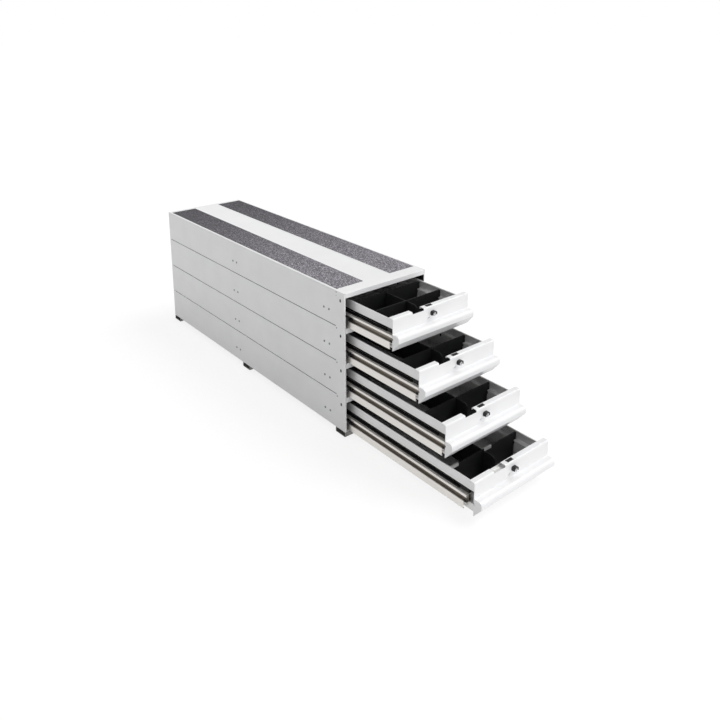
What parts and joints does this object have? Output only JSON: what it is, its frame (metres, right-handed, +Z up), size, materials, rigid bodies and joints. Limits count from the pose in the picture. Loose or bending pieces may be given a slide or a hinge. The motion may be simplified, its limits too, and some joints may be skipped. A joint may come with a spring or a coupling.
{
  "type": "van drawer unit",
  "caption": "Long low sheet-metal drawer cabinet for a van floor: full-length drawers with dividers on roller runners, press latches and locks, anti-slip strips on top.",
  "frame": {"origin": "middle of the floor bolt pattern, at floor level under the cabinet", "axes": "+Z up, +Y towards the cabinet's back, so the drawers open towards -Y; +X to the right seen from the drawers"},
  "size_m": [0.3436, 1.778, 0.4893],
  "materials": {
    "side_sheet": "satin light grey",
    "white_enamel": "gloss white powder coat",
    "tray_sheet": "satin pale grey",
    "runner_metal": "plain mill finish",
    "grip_sheet": "coarse grit",
    "foot_sheet": "satin grey",
    "steel_fittings": "zinc plated",
    "rivet_steel": "plain",
    "black_nylon": "moulded",
    "roller_plastic": "turned",
    "divider_plastic": "moulded",
    "latch_plastic": "moulded",
    "lock_black": "moulded",
    "lock_metal": "nickel plated"
  },
  "bodies": {
    "cabinet": {"front_post_left": "side_sheet", "front_post_right": "side_sheet", "side_skins_left": "side_sheet", "side_skins_right": "side_sheet", "top_cap": "white_enamel", "grip_strip_left": "grip_sheet", "grip_strip_right": "grip_sheet", "back_panel": "side_sheet", "bottom_pan": "side_sheet", "cross_rail_1": "white_enamel", "cross_rail_2": "white_enamel", "cross_rail_3": "white_enamel", "foot_channel_front": "foot_sheet", "foot_channel_middle": "foot_sheet", "foot_channel_rear": "foot_sheet", "roller_brackets": "steel_fittings", "guide_blocks": "black_nylon", "side_rivets": "rivet_steel"},
    "runner_1": {"runners_1": "runner_metal", "glide_pads_1": "black_nylon"},
    "drawer_1": {"tray_1": "tray_sheet", "front_1": "white_enamel", "dividers_1": "divider_plastic", "lock_housing_1": "lock_black"},
    "front_roller_pair_1": {"front_rollers_1": "roller_plastic"},
    "tail_roller_pair_1": {"tail_rollers_1": "roller_plastic"},
    "latch_slide_1": {"latch_1": "latch_plastic"},
    "barrel_1": {"lock_barrel_1": "lock_metal"},
    "runner_2": {"runners_2": "runner_metal", "glide_pads_2": "black_nylon"},
    "drawer_2": {"tray_2": "tray_sheet", "front_2": "white_enamel", "dividers_2": "divider_plastic", "lock_housing_2": "lock_black"},
    "front_roller_pair_2": {"front_rollers_2": "roller_plastic"},
    "tail_roller_pair_2": {"tail_rollers_2": "roller_plastic"},
    "latch_slide_2": {"latch_2": "latch_plastic"},
    "barrel_2": {"lock_barrel_2": "lock_metal"},
    "runner_3": {"runners_3": "runner_metal", "glide_pads_3": "black_nylon"},
    "drawer_3": {"tray_3": "tray_sheet", "front_3": "white_enamel", "dividers_3": "divider_plastic", "lock_housing_3": "lock_black"},
    "front_roller_pair_3": {"front_rollers_3": "roller_plastic"},
    "tail_roller_pair_3": {"tail_rollers_3": "roller_plastic"},
    "latch_slide_3": {"latch_3": "latch_plastic"},
    "barrel_3": {"lock_barrel_3": "lock_metal"},
    "runner_4": {"runners_4": "runner_metal", "glide_pads_4": "black_nylon"},
    "drawer_4": {"tray_4": "tray_sheet", "front_4": "white_enamel", "dividers_4": "divider_plastic", "lock_housing_4": "lock_black", "divider_clips_4": "steel_fittings"},
    "front_roller_pair_4": {"front_rollers_4": "roller_plastic"},
    "tail_roller_pair_4": {"tail_rollers_4": "roller_plastic"},
    "latch_slide_4": {"latch_4": "latch_plastic"},
    "barrel_4": {"lock_barrel_4": "lock_metal"}
  },
  "joints": [
    {"name": "runner_1_slide", "type": "slide", "parent": "cabinet", "child": "runner_1", "axis": [0, -1, 0], "range_m": [-0.197, 0.301]},
    {"name": "drawer_1_slide", "type": "slide", "parent": "runner_1", "child": "drawer_1", "axis": [0, -1, 0], "range_m": [0, 0.545]},
    {"name": "front_rollers_1_turn", "type": "hinge", "parent": "cabinet", "child": "front_roller_pair_1", "pos_m": [0, -0.617, 0.4073], "axis": [1, 0, 0], "continuous": true},
    {"name": "tail_rollers_1_turn", "type": "hinge", "parent": "drawer_1", "child": "tail_roller_pair_1", "pos_m": [0, 0.3375, 0.4073], "axis": [1, 0, 0], "continuous": true},
    {"name": "latch_1_press", "type": "slide", "parent": "drawer_1", "child": "latch_slide_1", "axis": [0, 0, 1], "range_m": [-0.005, 0], "stiffness_N_per_m": 400, "springref_m": 0.002},
    {"name": "lock_1_turn", "type": "hinge", "parent": "drawer_1", "child": "barrel_1", "pos_m": [0.002, -0.816, 0.447], "axis": [0, -1, 0], "range_deg": [0, 90]},
    {"name": "runner_2_slide", "type": "slide", "parent": "cabinet", "child": "runner_2", "axis": [0, -1, 0], "range_m": [-0.308, 0.19]},
    {"name": "drawer_2_slide", "type": "slide", "parent": "runner_2", "child": "drawer_2", "axis": [0, -1, 0], "range_m": [0, 0.545]},
    {"name": "front_rollers_2_turn", "type": "hinge", "parent": "cabinet", "child": "front_roller_pair_2", "pos_m": [0, -0.617, 0.2898], "axis": [1, 0, 0], "continuous": true},
    {"name": "tail_rollers_2_turn", "type": "hinge", "parent": "drawer_2", "child": "tail_roller_pair_2", "pos_m": [0, 0.2265, 0.2898], "axis": [1, 0, 0], "continuous": true},
    {"name": "latch_2_press", "type": "slide", "parent": "drawer_2", "child": "latch_slide_2", "axis": [0, 0, 1], "range_m": [-0.005, 0], "stiffness_N_per_m": 400, "springref_m": 0.002},
    {"name": "lock_2_turn", "type": "hinge", "parent": "drawer_2", "child": "barrel_2", "pos_m": [0.002, -0.927, 0.3295], "axis": [0, -1, 0], "range_deg": [0, 90]},
    {"name": "runner_3_slide", "type": "slide", "parent": "cabinet", "child": "runner_3", "axis": [0, -1, 0], "range_m": [-0.414, 0.084]},
    {"name": "drawer_3_slide", "type": "slide", "parent": "runner_3", "child": "drawer_3", "axis": [0, -1, 0], "range_m": [0, 0.545]},
    {"name": "front_rollers_3_turn", "type": "hinge", "parent": "cabinet", "child": "front_roller_pair_3", "pos_m": [0, -0.617, 0.1723], "axis": [1, 0, 0], "continuous": true},
    {"name": "tail_rollers_3_turn", "type": "hinge", "parent": "drawer_3", "child": "tail_roller_pair_3", "pos_m": [0, 0.1205, 0.1723], "axis": [1, 0, 0], "continuous": true},
    {"name": "latch_3_press", "type": "slide", "parent": "drawer_3", "child": "latch_slide_3", "axis": [0, 0, 1], "range_m": [-0.005, 0], "stiffness_N_per_m": 400, "springref_m": 0.002},
    {"name": "lock_3_turn", "type": "hinge", "parent": "drawer_3", "child": "barrel_3", "pos_m": [0.002, -1.033, 0.212], "axis": [0, -1, 0], "range_deg": [0, 90]},
    {"name": "runner_4_slide", "type": "slide", "parent": "cabinet", "child": "runner_4", "axis": [0, -1, 0], "range_m": [-0.498, 0]},
    {"name": "drawer_4_slide", "type": "slide", "parent": "runner_4", "child": "drawer_4", "axis": [0, -1, 0], "range_m": [-0.025, 0.52]},
    {"name": "front_rollers_4_turn", "type": "hinge", "parent": "cabinet", "child": "front_roller_pair_4", "pos_m": [0, -0.617, 0.0548], "axis": [1, 0, 0], "continuous": true},
    {"name": "tail_rollers_4_turn", "type": "hinge", "parent": "drawer_4", "child": "tail_roller_pair_4", "pos_m": [0, 0.0115, 0.0548], "axis": [1, 0, 0], "continuous": true},
    {"name": "latch_4_press", "type": "slide", "parent": "drawer_4", "child": "latch_slide_4", "axis": [0, 0, 1], "range_m": [-0.005, 0], "stiffness_N_per_m": 400, "springref_m": 0.002},
    {"name": "lock_4_turn", "type": "hinge", "parent": "drawer_4", "child": "barrel_4", "pos_m": [0.002, -1.142, 0.0945], "axis": [0, -1, 0], "range_deg": [0, 90]}
  ],
  "couplings": [
    {"joint": "front_rollers_1_turn", "follows": "runner_1_slide", "rad_per_m": 108.7},
    {"joint": "tail_rollers_1_turn", "follows": "drawer_1_slide", "rad_per_m": -108.7},
    {"joint": "front_rollers_2_turn", "follows": "runner_2_slide", "rad_per_m": 108.7},
    {"joint": "tail_rollers_2_turn", "follows": "drawer_2_slide", "rad_per_m": -108.7},
    {"joint": "front_rollers_3_turn", "follows": "runner_3_slide", "rad_per_m": 108.7},
    {"joint": "tail_rollers_3_turn", "follows": "drawer_3_slide", "rad_per_m": -108.7},
    {"joint": "front_rollers_4_turn", "follows": "runner_4_slide", "rad_per_m": 108.7},
    {"joint": "tail_rollers_4_turn", "follows": "drawer_4_slide", "rad_per_m": -108.7}
  ]
}
